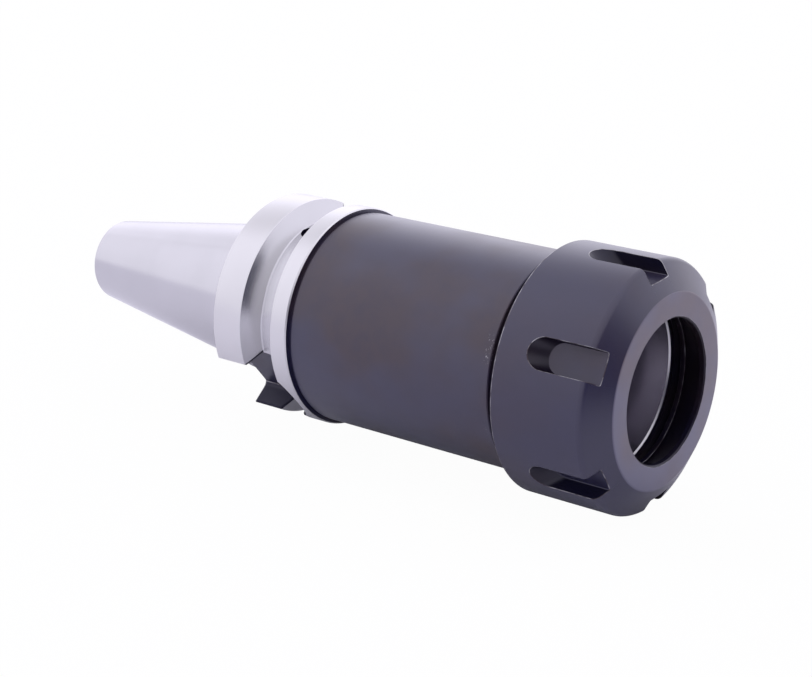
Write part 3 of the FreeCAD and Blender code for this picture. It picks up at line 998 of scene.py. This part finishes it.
class HOLDER_OT_stage(Operator):
    """Set the floor, the soft lights and the camera"""

    bl_idname = "tool_holder.stage"
    bl_label = "Stage"

    def execute(self, context):
        scene = context.scene
        sizes = scene.holder_stage
        scene.view_settings.view_transform = "Standard"
        self.floor(sizes)
        self.world(scene, sizes)
        self.softbox(sizes)
        self.card(sizes)
        self.camera(scene, sizes)
        return {"FINISHED"}

    @staticmethod
    def floor(sizes):
        """Floor that looks white to the camera and keeps the part's shadow. Its paint is also darker
        near the part: a painted shadow.
        """
        shape = bmesh.new()
        bmesh.ops.create_grid(shape, x_segments=1, y_segments=1, size=sizes.floor_size / 2)
        bmesh.ops.translate(shape, verts=shape.verts[:], vec=(0, 0, -sizes.floor_drop))
        finish = Finish("pale_floor")
        # Distance from the part, squeezed so that the painted shadow under the part is a long oval
        painted_shadow_distance = finish.node("ShaderNodeVectorMath", {"operation": "DISTANCE"},
                           {0: finish.place((12.0, 45.0, 0.0)), 1: (0.7, -0.18, 0.0)}, "Value")
        # Painted shadow: the paint goes from the darker colour near the part to the pale floor
        # further out; mirrors show it, and the camera faintly
        tint = finish.mix(finish.ramp(painted_shadow_distance, 0.2, 1.1), shade(sizes.floor_painted_shadow),
                          shade(sizes.floor_pale))
        paint = finish.node("ShaderNodeBsdfDiffuse", sockets={"Color": tint})
        glow = finish.node("ShaderNodeEmission", sockets={"Color": WHITE, "Strength": 1.0})
        white = finish.seen() * sizes.floor_glow + finish.ray("Glossy") * sizes.floor_gleam
        mixed = finish.node("ShaderNodeMixShader", sockets={0: white, 1: paint, 2: glow})
        as_piece(shape, "floor", [finish.shown(mixed)])

    @staticmethod
    def world(scene, sizes):
        """Soft room, brightest behind the part. The camera sees plain white instead."""
        room = Finish("soft_room", "worlds")
        bright = room.ramp(room.towards(sizes.rear_wall), -1.0, 0.5, sizes.front_wall)
        gap = 1.0 - room.ramp(room.towards(sizes.gap_place), 0.89, 0.985) * sizes.gap
        mirrored = room.ray("Glossy") * (1.0 - sizes.ambient) + sizes.ambient
        soft = room.node("ShaderNodeBackground",
                         sockets={"Color": shade(sizes.room),
                                  "Strength": bright * gap * sizes.brightness * mirrored})
        white = room.node("ShaderNodeBackground", sockets={"Color": WHITE})
        mixed = room.node("ShaderNodeMixShader", sockets={0: room.seen(), 1: soft, 2: white})
        scene.world = room.shown(mixed, "World")

    @staticmethod
    def softbox(sizes):
        data = bpy.data.lights.new("rear_softbox", "AREA")
        data.shape = "RECTANGLE"
        data.size = sizes.softbox_width
        data.size_y = sizes.softbox_height
        data.energy = sizes.softbox
        data.color = sizes.softbox_tint
        direction = Vector(sizes.softbox_aim) - Vector(sizes.softbox_place)
        lamp = add_aimed("rear_softbox", data, sizes.softbox_place, direction)
        lamp.visible_camera = False

    @staticmethod
    def card(sizes):
        """Grey card beside the camera that keeps the light off the nut's front cone."""
        shape = bmesh.new()
        bmesh.ops.create_grid(shape, x_segments=1, y_segments=1, size=0.5)
        stand = Matrix.Translation(sizes.card_place) @ Matrix.Rotation(math.pi / 2, 4, "Y")
        size = Matrix.Diagonal((sizes.card_height, sizes.card_width, 1.0, 1.0))
        bmesh.ops.transform(shape, matrix=stand @ size, verts=shape.verts[:])
        finish = Finish("grey_card")
        paint = finish.node("ShaderNodeBsdfDiffuse", sockets={"Color": shade(sizes.card_paint)})
        card = as_piece(shape, "card", [finish.shown(paint)])
        card.visible_camera = False

    @staticmethod
    def camera(scene, sizes):
        data = bpy.data.cameras.new("camera")
        data.lens = sizes.lens
        data.sensor_width = 36.0
        data.sensor_fit = "HORIZONTAL"
        data.clip_start = 0.01
        data.clip_end = 50.0
        scene.camera = add_aimed("camera", data, sizes.camera_place, Vector(sizes.camera_aim))


class HOLDER_PT_panel(Panel):
    """Sidebar panel that lists the pieces and all settings"""

    bl_idname = "HOLDER_PT_panel"
    bl_label = "Collet Chuck Holder"
    bl_space_type = "VIEW_3D"
    bl_region_type = "UI"
    bl_category = "Tool Holder"

    def draw(self, context):
        layout = self.layout
        for operator in OPERATORS:
            layout.operator(operator.bl_idname)
        for group in SETTINGS:
            box = layout.box()
            settings = getattr(context.scene, group)
            for name in settings.__annotations__:
                box.prop(settings, name)


SETTINGS = {"holder": HolderSettings, "clamping_nut": NutSettings,
            "holder_finish": FinishSettings, "holder_stage": StageSettings}
OPERATORS = (HOLDER_OT_stage, HOLDER_OT_body, HOLDER_OT_nut)
CLASSES = (*SETTINGS.values(), *OPERATORS, HOLDER_PT_panel)


def register():
    for made in CLASSES:
        bpy.utils.register_class(made)
    for name, group in SETTINGS.items():
        setattr(bpy.types.Scene, name, PointerProperty(type=group))


def unregister():
    for name in SETTINGS:
        delattr(bpy.types.Scene, name)
    for made in reversed(CLASSES):
        bpy.utils.unregister_class(made)


def main():
    register()
    bpy.ops.tool_holder.stage()
    bpy.ops.tool_holder.body()
    bpy.ops.tool_holder.nut()


if __name__ == "__main__":
    main()
